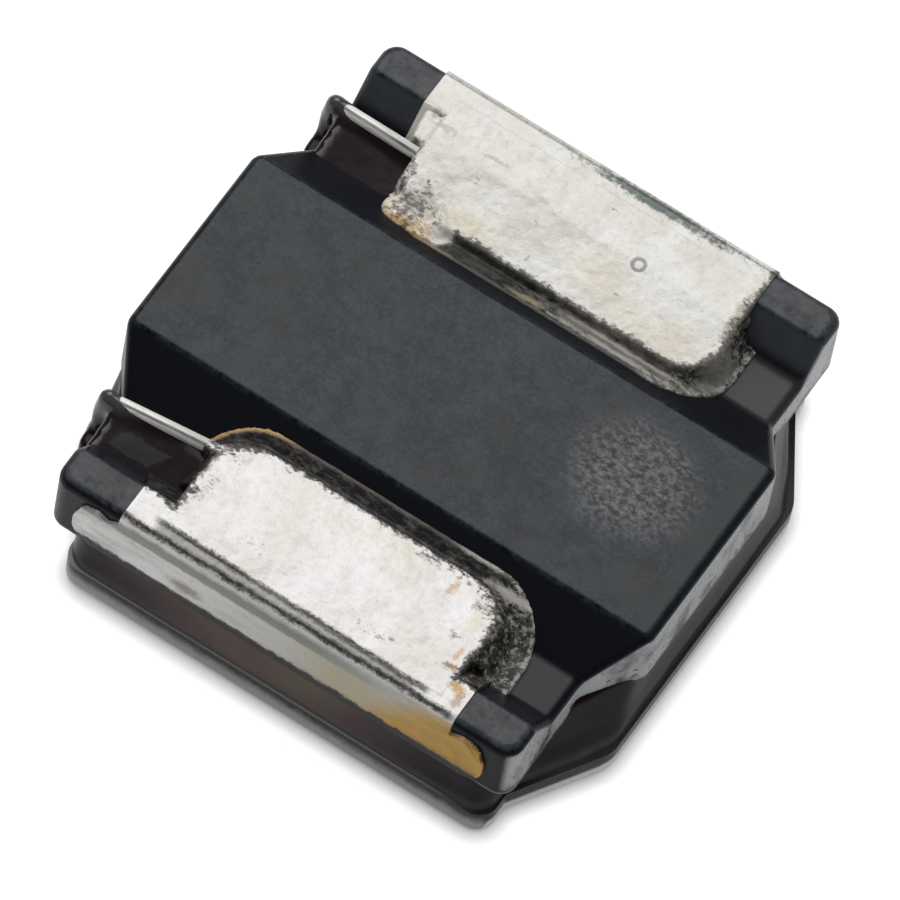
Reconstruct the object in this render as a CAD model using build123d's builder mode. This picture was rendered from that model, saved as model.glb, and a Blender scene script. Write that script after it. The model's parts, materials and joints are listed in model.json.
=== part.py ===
"""Semi-shielded surface-mount power inductor, 4.0 x 4.0 x 1.2 mm case.

A sintered ferrite drum core carries one copper winding between its two flanges.
The thick board flange has two grooves. Each groove is plated, takes one end of
the wire and is filled with solder, which makes the terminal. Resin loaded with
magnetic powder closes the gap between the flanges, climbs the two wire ends and
runs a little way into the grooves beside them.

The part stands as it does on a bench with its terminals up: the plain cap flange
lies on z = 0 and the terminals face +Z. X runs along the grooves, Y across them.
On a circuit board it is turned over, with the terminals on the copper pads.
"""
from build123d import *
import os

# ---- driving dimensions, millimetres --------------------------------------------------
body_width = 4.0             # Y, over the plating on both sides
body_height = 1.18           # Z, over the plated rims
plating = 0.025              # thickness of each terminal's metal film

# Board flange: the thick one, with the ridge between two grooves and a rim outside each.
board_length = 3.96          # X, over the ends of the ridge
board_thickness = 0.54       # Z, at the ridge and the rims
ridge_width = 1.46           # Y, flat top of the ridge
ear_length = 3.46            # X, over the ears at the ends of the rims
shoulder_y = 1.14            # Y, where the slanted corner of the outline meets the ear end
groove_depth = 0.24
groove_floor = (1.14, 1.48)  # Y, inner and outer edge of the groove's flat floor
groove_round = 0.10          # rounding along both edges of the floor
crest_round = 0.05           # rounding where a groove wall meets the ridge or the rim
rim_inner = 1.70             # Y, inner edge of the rim's flat top
edge_round = 0.07            # rounding of the top edges
ear_round = 0.12             # upright rounding of the ear corners
board_bend = 0.12            # upright rounding where the outline turns

# Cap flange: the thin one, a plain plate with cut corners.
cap_length = 4.0             # X, over its straight ends
cap_width = 3.94             # Y
cap_shift = (0.03, -0.03)    # X and Y, because the two halves of the pressing die do not quite line up
cap_thickness = 0.25
cap_ear_length = 3.22        # X, over the short end facets
cap_cut = (1.08, 1.72)       # Y, from the cap's middle, where each corner cut starts and ends
cap_round = 0.07             # rounding of the outer face's edge
cap_corner_round = 0.14      # upright rounding of the outermost corners
cap_bend = 0.25              # upright rounding where a corner cut starts

# Winding: one round wire, wound in layers on the round post between the flanges.
post_diameter = 1.50
wire_diameter = 0.09
layers = 9                   # counted outward from the post
turns_per_layer = 3
lead_height = 1.05           # Z, axis of the wire where it lies along a groove
lead_gap = 0.02              # between a lead and the flange end that it climbs
lead_bend = 0.10             # size of the quarter bends
finish_start = (-0.18, -1.504)       # X and Y, where the outer end leaves the last layer
finish_exit_y = -1.25                # Y, where it climbs past the flange
finish_end = (-0.70, -1.14, 1.07)    # X, Y and Z, where it ends in the solder
start_start = (-0.62, 0.62)          # the same four for the inner end, which leaves the post
start_exit_y = 1.38
start_end = (-0.90, 1.53, 1.09)

# Terminals and solder.
pad_length = 2.57            # X, of the plated groove and rim
pad_shift = -0.015           # X, middle of the plated groove and rim
pad_taper = 0.30             # X, how much sooner the pad ends at the ridge than at the rim
pad_round = 0.12             # rounding of the pad's corners
film_inner = 0.79            # Y, where the film ends on the slope of the ridge
side_strip_length = 3.08     # X, of the film on the outer side face
side_strip_levels = (0.64, 1.03)     # Z, of the part of the film that is longer than the pad
side_strip_round = 0.17
solder_inner = 0.84          # Y, where the solder ends on the slope of the ridge
solder_outer = 1.68          # Y, where it ends on the rim
solder_margin = 0.02         # how far the solder stays inside the film's edge
solder_slope = 0.12          # X, how far its ends lean in from the floor to the top
solder_sag = 0.07            # how far it lies below the rim at its inner edge
solder_crown = 0.015         # how far it lies below the rim in the middle

# Resin.
resin_corner_round = 0.16
resin_over_lead = 0.02       # X, cover over the outer side of a lead
web_foot = (0.28, 0.52)      # X and Y, of the resin round a lead at the flange's lower face
web_top = (0.19, 0.20)       # X and Y, at the lead's upper bend
finish_pool = (-1.48, 0.44, 0.99)    # middle Y, width and top level of the resin in the groove
start_pool = (1.13, 0.46, 1.03)

# ---- levels and half sizes worked out from them ---------------------------------------
half_width = body_width / 2
ferrite_half_width = half_width - plating
board_top = body_height - plating
board_bottom = board_top - board_thickness
floor_level = board_top - groove_depth
ridge_half = ridge_width / 2
wire_radius = wire_diameter / 2
post_radius = post_diameter / 2
coil_radius = post_radius + layers * wire_diameter
coil_top = cap_thickness + turns_per_layer * wire_diameter
pad_start = pad_shift - pad_length / 2
pad_end = pad_shift + pad_length / 2
clear = 0.1                  # cutting shapes reach this far past what they cut
outside = half_width + clear
above = body_height + clear
tolerance = 0.001            # for picking edges and corners by where they are


def flange_outline(end_x, cut_start_y, ear_x, cut_end_y, side_y, corner, bend, inner_bend=0.0):
    """Plan of a flange: a square whose corners are cut back to short ears."""
    with BuildSketch() as outline:
        with BuildLine():
            Polyline(
                (0, side_y),
                (ear_x, side_y),
                (ear_x, cut_end_y),
                (end_x, cut_start_y),
                (end_x, 0),
            )
            mirror(about=Plane.YZ)
            mirror(about=Plane.XZ)
        make_face()
        for level, radius in ((side_y, corner), (cut_start_y, bend), (cut_end_y, inner_bend)):
            if radius > 0:
                turns = outline.vertices().filter_by(lambda v: abs(abs(v.Y) - level) < tolerance)
                fillet(turns, radius=radius)
    return outline.sketch


def board_section(rim_round, grow):
    """Section of the board flange across its grooves, in the YZ plane, grown by a film."""
    with BuildSketch(Plane.YZ) as section:
        with BuildLine():
            Polyline(
                (0, board_top),
                (ridge_half, board_top),
                (groove_floor[0], floor_level),
                (groove_floor[1], floor_level),
                (rim_inner, board_top),
                (ferrite_half_width, board_top),
                (ferrite_half_width, board_bottom),
                (0, board_bottom),
            )
            mirror(about=Plane.YZ)
        make_face()
        floor_corners = section.vertices().filter_by(lambda v: abs(v.Y - floor_level) < tolerance)
        fillet(floor_corners, radius=groove_round)
        top_corners = section.vertices().filter_by(lambda v: v.Y > board_top - tolerance)
        fillet(top_corners.filter_by(lambda v: abs(v.X) < rim_inner + tolerance), radius=crest_round)
        if rim_round > 0:
            rim_corners = section.vertices().filter_by(
                lambda v: v.Y > board_top - tolerance and abs(v.X) > ferrite_half_width - tolerance
            )
            fillet(rim_corners, radius=rim_round)
        if grow > 0:
            offset(amount=grow)
    return section.sketch


# ---- drum core: board flange, post and cap flange, pressed and sintered in one piece ---
board_outline = flange_outline(
    board_length / 2, ridge_half, ear_length / 2, shoulder_y,
    ferrite_half_width, ear_round, board_bend, board_bend,
)
cap_outline = flange_outline(
    cap_length / 2, cap_cut[0], cap_ear_length / 2, cap_cut[1],
    cap_width / 2, cap_corner_round, cap_bend,
)
with BuildPart() as drum_core:
    extrude(Plane.XY.offset(board_bottom) * board_outline, amount=board_thickness)
    extrude(board_section(0, 0), amount=board_length, both=True, mode=Mode.INTERSECT)
    top_loop = drum_core.edges().filter_by(
        lambda e: e.center().Z > board_bottom + edge_round
        and abs(e.tangent_at(0.5).Z) < 0.95
        and (abs(e.tangent_at(0.5).X) < 0.95 or abs(e.center().Y) > rim_inner + edge_round)
    )
    fillet(top_loop, radius=edge_round)

    with BuildSketch(Plane.XY.offset(cap_thickness)):
        Circle(post_radius)
    extrude(until=Until.NEXT)

    extrude(Pos(*cap_shift) * cap_outline, amount=cap_thickness)
    fillet(drum_core.edges().group_by(Axis.Z)[0], radius=cap_round)

drum_core.part.label = "drum_core"
os.makedirs("parts", exist_ok=True)
export_step(drum_core.part, "parts/drum_core.step")

# ---- winding: the wound layers and the wire's two ends, one piece of wire ---------------
exit_x = -ear_length / 2 - lead_gap - wire_radius
under_board = board_bottom - 0.015 - wire_radius     # axis of a lead that runs out under the flange


def lead_route(start, exit_y, end):
    """Route of a wire end: out under the board flange, up past its edge and in along the groove.

    Both turns are quarter bends, as a soft wire makes round an edge.
    """
    low_corner = Vector(exit_x, exit_y, under_board)
    high_corner = Vector(exit_x, exit_y, lead_height)
    up = Vector(0, 0, lead_bend)
    fullness = 0.45          # how far each bend bulges towards its corner
    with BuildLine() as route:
        inward = (Vector(*start) - low_corner).normalized() * lead_bend
        onward = (Vector(*end) - high_corner).normalized() * lead_bend
        Line(start, low_corner + inward)
        Bezier(
            low_corner + inward, low_corner + inward * fullness,
            low_corner + up * fullness, low_corner + up,
        )
        Line(low_corner + up, high_corner - up)
        Bezier(
            high_corner - up, high_corner - up * fullness,
            high_corner + onward * fullness, high_corner + onward,
        )
        Line(high_corner + onward, end)
    return route.line


with BuildPart() as winding:
    with BuildSketch(Plane.XY.offset(cap_thickness)):
        Circle(coil_radius)
        Circle(post_radius, mode=Mode.SUBTRACT)
    extrude(amount=coil_top - cap_thickness)
    for route in (
        lead_route((*finish_start, coil_top - wire_radius), finish_exit_y, finish_end),
        lead_route((*start_start, under_board), start_exit_y, start_end),
    ):
        with BuildLine():
            add(route)
        with BuildSketch(Plane(origin=route @ 0, z_dir=route % 0)):
            Circle(wire_radius)
        sweep()

winding.part.label = "winding"
export_step(winding.part, "parts/winding.step")


# ---- terminals: the metal film in each groove, over its rim and down the side face ------
def pad_plan(margin, inner):
    """Plan of a plated groove and rim: square at the rim, narrowed at the ridge."""
    with BuildSketch() as plan:
        with BuildLine():
            Polyline(
                (pad_start + margin, outside),
                (pad_start + margin, shoulder_y),
                (pad_start + pad_taper, inner),
                (pad_end - pad_taper, inner),
                (pad_end - margin, shoulder_y),
                (pad_end - margin, outside),
                close=True,
            )
        make_face()
        fillet(plan.vertices().filter_by(lambda v: v.Y < outside - tolerance), radius=pad_round)
    return plan.sketch


terminals = {}
for name, side in (("terminal_front", -1), ("terminal_back", 1)):
    with BuildPart() as terminal:
        extrude(Plane.XY.offset(floor_level - plating) * pad_plan(0, film_inner), amount=above - floor_level)
        with BuildSketch(Plane.XZ.offset(-outside)):
            with Locations((0, sum(side_strip_levels) / 2)):
                RectangleRounded(
                    side_strip_length, side_strip_levels[1] - side_strip_levels[0], side_strip_round
                )
        extrude(amount=clear + 2 * plating)
        extrude(board_section(edge_round, plating), amount=board_length, both=True, mode=Mode.INTERSECT)
        add(drum_core.part, mode=Mode.SUBTRACT)
        if side < 0:
            mirror(about=Plane.XZ, mode=Mode.REPLACE)
    terminal.part.label = name
    terminals[side] = terminal.part
    export_step(terminal.part, f"parts/{name}.step")

# ---- solder: fills each groove over the film and the wire -------------------------------
solders = {}
for name, side in (("solder_front", -1), ("solder_back", 1)):
    with BuildPart() as solder:
        with BuildSketch(Plane.YZ):
            with BuildLine():
                crown = ThreePointArc(
                    (solder_inner, body_height - solder_sag),
                    ((solder_inner + solder_outer) / 2, body_height - solder_crown),
                    (solder_outer, body_height),
                )
                Polyline(crown @ 1, (solder_outer, floor_level), (solder_inner, floor_level), crown @ 0)
            make_face()
        extrude(amount=board_length, both=True)
        with BuildSketch(Plane.XZ):
            with BuildLine():
                Polyline(
                    (pad_start + solder_margin, floor_level),
                    (pad_start + solder_margin + solder_slope, above),
                    (pad_end - solder_margin - solder_slope, above),
                    (pad_end - solder_margin, floor_level),
                    close=True,
                )
            make_face()
        extrude(amount=-outside, mode=Mode.INTERSECT)
        extrude(pad_plan(solder_margin, solder_inner), amount=above, mode=Mode.INTERSECT)
        if side < 0:
            mirror(about=Plane.XZ, mode=Mode.REPLACE)
        add(drum_core.part, mode=Mode.SUBTRACT)
        add(terminals[side], mode=Mode.SUBTRACT)
        add(winding.part, mode=Mode.SUBTRACT)
    solder.part.label = name
    solders[side] = solder.part
    export_step(solder.part, f"parts/{name}.step")

# ---- overcoat: resin between the flanges, up each lead and into the groove beside it ----
waist_level = (cap_thickness + board_bottom) / 2
web_outer_x = exit_x - wire_radius - resin_over_lead
resin_levels = (
    # level, end X, Y where the corner cut starts, ear X, Y where it ends, side Y, share of the cap's shift
    (cap_thickness, cap_length / 2, cap_cut[0], cap_ear_length / 2, cap_cut[1], cap_width / 2, 1.0),
    (waist_level, 1.965, 0.92, 1.59, 1.64, 1.955, 0.5),
    (board_bottom, 1.94, 0.78, 1.57, 1.56, 1.955, 0.0),
)
with BuildPart() as overcoat:
    for level, end_x, cut_start_y, ear_x, cut_end_y, side_y, share in resin_levels:
        with BuildSketch(Plane.XY.offset(level)):
            with Locations((cap_shift[0] * share, cap_shift[1] * share)):
                add(flange_outline(
                    end_x, cut_start_y, ear_x, cut_end_y, side_y, resin_corner_round, cap_bend
                ))
    loft(ruled=True)
    for exit_y in (finish_exit_y, start_exit_y):
        for level, web in ((board_bottom - clear, web_foot), (lead_height - wire_radius, web_top)):
            with BuildSketch(Plane.XY.offset(level)):
                with Locations((web_outer_x + web[0] / 2, exit_y)):
                    RectangleRounded(*web, resin_corner_round / 2)
        loft()
    for middle_y, width, level in (finish_pool, start_pool):
        with BuildSketch(Plane.XY.offset(floor_level - clear)):
            with Locations((-ear_length / 2, middle_y)):
                Rectangle(pad_end - pad_start, width, align=(Align.MIN, Align.CENTER))
        extrude(amount=level - floor_level + clear)
    add(drum_core.part, mode=Mode.SUBTRACT)
    add(winding.part, mode=Mode.SUBTRACT)
    for side in terminals:
        add(terminals[side], mode=Mode.SUBTRACT)
        add(solders[side], mode=Mode.SUBTRACT)
overcoat.part.label = "overcoat"
export_step(overcoat.part, "parts/overcoat.step")
for built in (drum_core, winding, overcoat):
    print(built.part.label, built.part.is_valid, round(built.part.volume, 4), len(built.part.solids()))
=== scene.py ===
"""Looks of a 4 mm surface-mount power inductor, standing with its terminals up.

The CAD part is loaded as the frame. The ferrite drum core keeps its CAD mesh and gets a finish.
The winding and the terminals' metal films are shaped from copies of their CAD meshes, and the
resin and the two solder fills are modelled here in more detail. Pieces are shaped in millimetres,
because Blender's tools have limits that a part this small would meet, and are brought to metres
when they are finished.
"""

import json
import logging
import math
from collections.abc import Callable
from dataclasses import dataclass
from enum import Enum
from typing import NamedTuple

import bpy
from bpy.types import Material, Node, NodeSocket, Object, World
from mathutils import Matrix, Vector

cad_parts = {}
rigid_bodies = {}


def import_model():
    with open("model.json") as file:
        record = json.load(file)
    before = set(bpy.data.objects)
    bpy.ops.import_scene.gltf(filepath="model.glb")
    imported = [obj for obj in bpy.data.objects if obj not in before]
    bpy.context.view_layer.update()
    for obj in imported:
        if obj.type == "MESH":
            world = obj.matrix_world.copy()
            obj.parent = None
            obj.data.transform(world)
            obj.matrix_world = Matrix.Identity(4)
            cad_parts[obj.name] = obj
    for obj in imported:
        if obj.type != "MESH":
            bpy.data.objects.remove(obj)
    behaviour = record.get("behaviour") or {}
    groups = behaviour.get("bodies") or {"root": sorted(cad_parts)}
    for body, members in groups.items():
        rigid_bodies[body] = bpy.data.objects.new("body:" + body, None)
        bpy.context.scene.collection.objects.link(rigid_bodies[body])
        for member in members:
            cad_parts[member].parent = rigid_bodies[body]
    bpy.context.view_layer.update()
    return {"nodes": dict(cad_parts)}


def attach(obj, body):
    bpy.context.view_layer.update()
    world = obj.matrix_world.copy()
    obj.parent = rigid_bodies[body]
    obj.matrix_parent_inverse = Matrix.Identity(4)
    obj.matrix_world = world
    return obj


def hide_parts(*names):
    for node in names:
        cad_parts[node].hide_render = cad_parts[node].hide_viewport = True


LOG = logging.getLogger("inductor")
MM = 0.001                      # metres in a millimetre
ROOT = "root"                   # the one body that every piece rides on

# Levels above the floor and distances from the middle line, in millimetres.
CAP_TOP = 0.25                  # the cap flange's upper face
GROOVE_FLOOR = 0.915
BOARD_TOP = 1.155               # the ridge and the bare ears
RIDGE_EDGE = 0.73               # where the ridge's flat top ends
FLOOR_EDGE = 1.14               # where the groove's flat floor begins
NEAR = 0.01                     # for picking corners by where they are
TOUCH = 1e-4                    # the same, for corners that lie on a face


# ---- shader maths ---------------------------------------------------------------------------
class Field:
    """A shader value that Python's operators and a few methods build Math nodes on."""

    def __init__(self, graph: "Graph", socket: NodeSocket) -> None:
        """Wraps one output socket of a graph."""
        self.graph = graph
        self.socket = socket

    def _math(self, operation: str, *values: "Field | float") -> "Field":
        """Adds one Math node with its operation and its inputs in order."""
        node = self.graph.node("ShaderNodeMath", {"operation": operation}, dict(enumerate(values)))
        return Field(self.graph, node.outputs[0])

    def __add__(self, other: "Field | float") -> "Field":
        """Sum."""
        return self._math("ADD", self, other)

    def __radd__(self, other: float) -> "Field":
        """Sum, with the number first."""
        return self._math("ADD", other, self)

    def __sub__(self, other: "Field | float") -> "Field":
        """Difference."""
        return self._math("SUBTRACT", self, other)

    def __rsub__(self, other: float) -> "Field":
        """Difference, with the number first."""
        return self._math("SUBTRACT", other, self)

    def __mul__(self, other: "Field | float") -> "Field":
        """Product."""
        return self._math("MULTIPLY", self, other)

    def __rmul__(self, other: float) -> "Field":
        """Product, with the number first."""
        return self._math("MULTIPLY", other, self)

    def __truediv__(self, other: "Field | float") -> "Field":
        """Quotient."""
        return self._math("DIVIDE", self, other)

    def __pow__(self, power: float) -> "Field":
        """Power."""
        return self._math("POWER", self, power)

    def __abs__(self) -> "Field":
        """Size without sign."""
        return self._math("ABSOLUTE", self)

    def least(self, other: "Field | float") -> "Field":
        """The smaller of two values."""
        return self._math("MINIMUM", self, other)

    def most(self, other: "Field | float") -> "Field":
        """The larger of two values."""
        return self._math("MAXIMUM", self, other)

    def root(self) -> "Field":
        """Square root."""
        return self._math("SQRT", self)

    def step(self, low: float, high: float) -> "Field":
        """A soft step from 0 at low to 1 at high, which may be the smaller of the two.

        Args:
            low: where the result is 0.
            high: where it is 1.

        Returns:
            The smoothed step.
        """
        node = self.graph.node(
            "ShaderNodeMapRange", {"interpolation_type": "SMOOTHSTEP"},
            {"Value": self, "From Min": low, "From Max": high, "To Min": 0.0, "To Max": 1.0})
        return Field(self.graph, node.outputs["Result"])

    def band(self, low: float, high: float, soft: float) -> "Field":
        """1 between low and high, fading to 0 over soft on both sides."""
        return self.step(low - soft, low + soft) * self.step(high + soft, high - soft)


Value = Field | float
Colour = tuple[float, float, float]
Tone = Colour | NodeSocket
Point = tuple[float, float, float]
Pair = tuple[float, float]


def ellipse(u: Field, v: Field, centre: Pair, radii: Pair) -> Field:
    """How far out a place lies from a centre, where 1 is on the ellipse with these radii."""
    return (((u - centre[0]) / radii[0]) ** 2.0 + ((v - centre[1]) / radii[1]) ** 2.0).root()


class Graph:
    """The node tree of a material or of the surroundings, with its coordinates as fields."""

    def __init__(self, owner: Material | World, kind: str = "Object", scale: float = 1 / MM) -> None:
        """Empties the tree and adds its coordinates.

        Args:
            owner: the material or the surroundings.
            kind: which texture coordinates are used.
            scale: what they are multiplied by, so that a piece's are in millimetres.
        """
        self.owner = owner
        owner.use_nodes = True
        self.tree = owner.node_tree
        self.tree.nodes.clear()
        place = self.node("ShaderNodeTexCoord")
        scaled = self.node("ShaderNodeVectorMath", {"operation": "SCALE"},
                           {0: place.outputs[kind], "Scale": scale})
        self.place = scaled.outputs[0]
        facing = self.node("ShaderNodeSeparateXYZ", {}, {0: place.outputs["Normal"]})
        self.east, self.north, self.upward = (Field(self, facing.outputs[axis]) for axis in "XYZ")
        split = self.node("ShaderNodeSeparateXYZ", {}, {0: self.place})
        self.x, self.y, self.z = (Field(self, split.outputs[axis]) for axis in "XYZ")

    def node(self, kind: str, settings: dict | None = None, sockets: dict | None = None) -> Node:
        """Adds any node.

        Args:
            kind: the node's type.
            settings: properties such as a Math node's operation, which are set first.
            sockets: values, fields or sockets by input name or number.

        Returns:
            The node.
        """
        node = self.tree.nodes.new(kind)
        for name, value in (settings or {}).items():
            setattr(node, name, value)
        for name, value in (sockets or {}).items():
            target = node.inputs[name]
            if isinstance(value, Field):
                value = value.socket
            if isinstance(value, NodeSocket):
                self.tree.links.new(value, target)
            elif target.type == "RGBA" and len(value) == 3:
                target.default_value = (*value, 1.0)
            else:
                target.default_value = value
        return node

    def noise(self, scale: float, detail: float = 2.0, roughness: float = 0.5, shift: float = 0.0,
              stretch: Point = (1.0, 1.0, 1.0)) -> Field:
        """Cloudy noise around 0.5.

        Args:
            scale: features per millimetre.
            detail: octaves.
            roughness: how much the fine octaves count.
            shift: moves the pattern, so that two of one scale differ.
            stretch: how the scale is multiplied along X, Y and Z.

        Returns:
            The noise, from 0 to 1.
        """
        moved = self.node("ShaderNodeMapping", {}, {
            "Vector": self.place, "Location": (shift, shift * 0.7, shift * 0.3), "Scale": stretch})
        node = self.node("ShaderNodeTexNoise", {}, {
            "Vector": moved.outputs[0], "Scale": scale, "Detail": detail, "Roughness": roughness})
        return Field(self, node.outputs["Fac"])

    def mix(self, amount: Value, low: Tone, high: Tone) -> NodeSocket:
        """Blends two colours, where the amount is 0 for the first and 1 for the second."""
        node = self.node("ShaderNodeMix", {"data_type": "RGBA", "clamp_factor": True},
                         {0: amount, 6: low, 7: high})
        return node.outputs[2]

    def paint(self, base: Tone, *coats: tuple[Value, Tone]) -> NodeSocket:
        """Lays coats over a colour, each given as where it shows and its own colour."""
        for amount, colour in coats:
            base = self.mix(amount, base, colour)
        return base

    def bump(self, height: Field, strength: float = 1.0) -> NodeSocket:
        """A normal from a height in millimetres."""
        node = self.node("ShaderNodeBump", {}, {"Height": height, "Distance": MM, "Strength": strength})
        return node.outputs["Normal"]

    def surface(self, **sockets: object) -> Material:
        """Closes the material with a Principled shader.

        Args:
            sockets: its inputs, with underscores for spaces.

        Returns:
            The material.
        """
        shader = self.node("ShaderNodeBsdfPrincipled", {}, {
            name.replace("_", " "): value for name, value in sockets.items()})
        self.node("ShaderNodeOutputMaterial", {}, {"Surface": shader.outputs[0]})
        return self.owner


# ---- finishes -------------------------------------------------------------------------------
class Side(Enum):
    """The two terminals, by the sign of their Y."""

    FRONT = -1
    BACK = 1

    @property
    def label(self) -> str:
        """The side's name in node names."""
        return self.name.lower()


@dataclass(frozen=True)
class Ferrite:
    """Sintered ferrite: blue-grey where it is ground flat, nearly black in the pressed grooves.

    Attributes:
        dark: the darker tone of the ground top.
        light: its lighter tone.
        warm: the brownish tone of some areas of it.
        worn: its tone along the ridge's +X end.
        ears: its paler tone on the bare ears.
        patch: centre and half size of the coarse patch on the ridge, in millimetres.
        pits: the dark pits of the patch.
        grain: its pale grains.
        pressed: colour of the groove walls.
        rim_wall: the paler tone of the back groove's outer wall.
        dust: the brownish tone of the back groove's floor.
        end: the end faces at +X.
        end_reflection: painted reflection, the pale glare that covers most of them.
        nicks: the dark nicks in it.
        lip_highlight: painted highlight, a bright line along the board flange's lower edge.
        cap: the cap flange's side near its upper edge.
        cap_floor_reflection: painted reflection of the white floor on its lower part.
        cap_end_shade: painted shade on its side at +X, where the floor reflection is left out.
        cap_foot_highlight: painted highlight, a bright line along its lower edge.
        ledge_light: painted light on its upper face outside the resin, which lifts the shade there.
        ledge_end: the same at +X, where the ledge keeps a dark tone without painted light.
    """

    dark: Colour = (0.0010, 0.0030, 0.0065)
    light: Colour = (0.0175, 0.0300, 0.0420)
    warm: Colour = (0.0200, 0.0220, 0.0210)
    worn: Colour = (0.010, 0.017, 0.016)
    ears: Colour = (0.062, 0.064, 0.068)
    patch: tuple[Pair, Pair] = ((1.25, 0.14), (0.44, 0.44))
    pits: Colour = (0.0, 0.002, 0.004)
    grain: Colour = (0.190, 0.189, 0.193)
    pressed: Colour = (0.0068, 0.0074, 0.0112)
    rim_wall: Colour = (0.056, 0.062, 0.070)
    dust: Colour = (0.046, 0.042, 0.040)
    end: Colour = (0.050, 0.054, 0.060)
    end_reflection: Colour = (0.50, 0.52, 0.53)
    nicks: Colour = (0.035, 0.036, 0.040)
    lip_highlight: Colour = (0.34, 0.34, 0.35)
    cap: Colour = (0.045, 0.040, 0.042)
    cap_floor_reflection: Colour = (0.420, 0.445, 0.430)
    cap_end_shade: Colour = (0.020, 0.014, 0.017)
    cap_foot_highlight: Colour = (0.76, 0.77, 0.77)
    ledge_light: Colour = (0.50, 0.49, 0.49)
    ledge_end: Colour = (0.040, 0.034, 0.036)

    def material(self) -> Material:
        """Builds the finish."""
        g = Graph(bpy.data.materials.new("ferrite"))
        fine = g.noise(38.0, 3.0, 0.7)
        mottle = g.noise(10.0, 4.0, 0.75, 15.0)
        cloud = g.noise(1.7, 3.0, 0.6, 5.0)
        pitted = g.noise(26.0, 4.0, 0.82, 9.0, (0.85, 1.15, 1.0))
        top = g.z.step(BOARD_TOP - 0.025, BOARD_TOP - 0.005)
        cap = g.z.step(CAP_TOP + 0.012, CAP_TOP - 0.006)
        reach = ellipse(g.x, g.y, *self.patch) + (cloud - 0.5) * 0.8
        patch = reach.step(1.25, 0.55) * top
        coarse = g.mix(pitted.step(0.36, 0.70), self.pits, self.grain)
        ears = abs(g.y).step(1.66, 1.72) * (0.25 + (mottle - 0.4) * 2.4)
        ground = g.paint(self.ridge(g, fine, mottle, cloud), (patch * (0.55 + cloud * 0.6), coarse),
                         (g.x.step(1.74, 1.86) * 0.6, self.worn), (ears, self.ears))
        colour = g.mix(top, self.grooves(g, mottle), ground)
        colour = g.mix(cap, self.ends(g, fine, colour), self.cap_flange(g, mottle))
        rough = 0.20 + 0.20 * g.upward.step(0.80, 0.97) + 0.12 * fine + (cloud - 0.5) * 0.08 - 0.06 * cap
        relief = fine * 0.003 + mottle * top * 0.002 + patch * pitted * 0.008
        return g.surface(Base_Color=colour, Roughness=rough, Normal=g.bump(relief, 0.8), IOR=1.25,
                         Coat_Weight=g.upward.step(0.90, 0.98) * (1.0 - cap), Coat_Roughness=0.40,
                         Coat_IOR=1.29)

    def ridge(self, g: Graph, fine: Field, mottle: Field, cloud: Field) -> NodeSocket:
        """Colours of the ground top, from its three noises."""
        tone = 0.42 + (mottle - 0.5) * 3.4 + (fine - 0.5) * 3.0 + (cloud - 0.5) * 1.6
        areas = g.noise(2.6, 3.0, 0.6, 21.0).step(0.50, 0.66)
        return g.paint(self.dark, (tone, self.light), (areas * 0.5, self.warm))

    def grooves(self, g: Graph, mottle: Field) -> NodeSocket:
        """Colours below the top: nearly black, paler on the back groove's outer wall and floor."""
        wall = g.y.step(1.45, 1.52) * 0.8 * g.z.step(0.93, 1.02)
        floor = g.y.step(1.05, 1.15) * g.z.step(0.95, 0.92) * 0.75
        return g.paint(self.pressed, (wall, self.rim_wall), (floor, self.dust),
                       ((mottle - 0.2) * 0.5, self.pressed))

    def ends(self, g: Graph, fine: Field, colour: Tone) -> NodeSocket:
        """Adds the +X end faces with a painted reflection broken by chips, and a painted highlight on the
        flange's lower edge.

        Args:
            g: the material's graph.
            fine: the fine noise.
            colour: what is under them.

        Returns:
            The colour's socket.
        """
        side = g.upward.step(0.45, 0.20)
        end = g.east.step(0.35, 0.80) * side * g.z.step(0.64, 0.66)
        # painted reflection: the pale glare of the +X faces seen at a grazing angle
        end_reflection = (g.noise(5.0, 3.0, 0.5, 12.0, (1.0, 1.0, 0.7)) + (0.80 - g.z) * 0.30).step(0.74, 0.40)
        nicks = (g.noise(14.0, 2.0, 0.5, 27.0) - abs(g.z - 0.66) * 0.5).step(0.54, 0.60)
        # painted highlight: a broken bright line along the board flange's lower edge
        lip_highlight = g.z.band(0.617, 0.632, 0.005) * side * g.noise(6.0, 3.0, 0.6, 31.0).step(0.36, 0.56)
        return g.paint(colour, (end, self.end), (end * end_reflection * (0.8 + (fine - 0.5) * 0.5), self.end_reflection),
                       (end * nicks * 0.8, self.nicks), (lip_highlight * 0.55, self.lip_highlight))

    def cap_flange(self, g: Graph, mottle: Field) -> NodeSocket:
        """Cap flange with painted light: floor reflection low down, shade at +X, a bright foot line and a lit
        ledge.
        """
        east = g.east.step(0.70, 0.90)
        # painted reflection of the floor, paler towards the foot and mostly left out at +X
        pale = (g.z + (mottle - 0.5) * 0.10).step(0.225, 0.10)
        pale = pale * (1.0 - east * 0.93)
        # painted highlight along the lower edge, reaching higher at +X
        foot = (g.z - east * 0.085).step(0.08, 0.03)
        # painted light on the ledge, which its real shade would leave dark; none at +X
        ledge_light = g.mix(g.x.step(1.1, 1.6), self.ledge_light, self.ledge_end)
        # painted shade on the +X side, where the floor reflection is left out
        return g.paint(self.cap, (pale, self.cap_floor_reflection), (east * (1.0 - pale), self.cap_end_shade),
                       (foot, self.cap_foot_highlight), (g.upward.step(0.2, 0.6), ledge_light))


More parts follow.
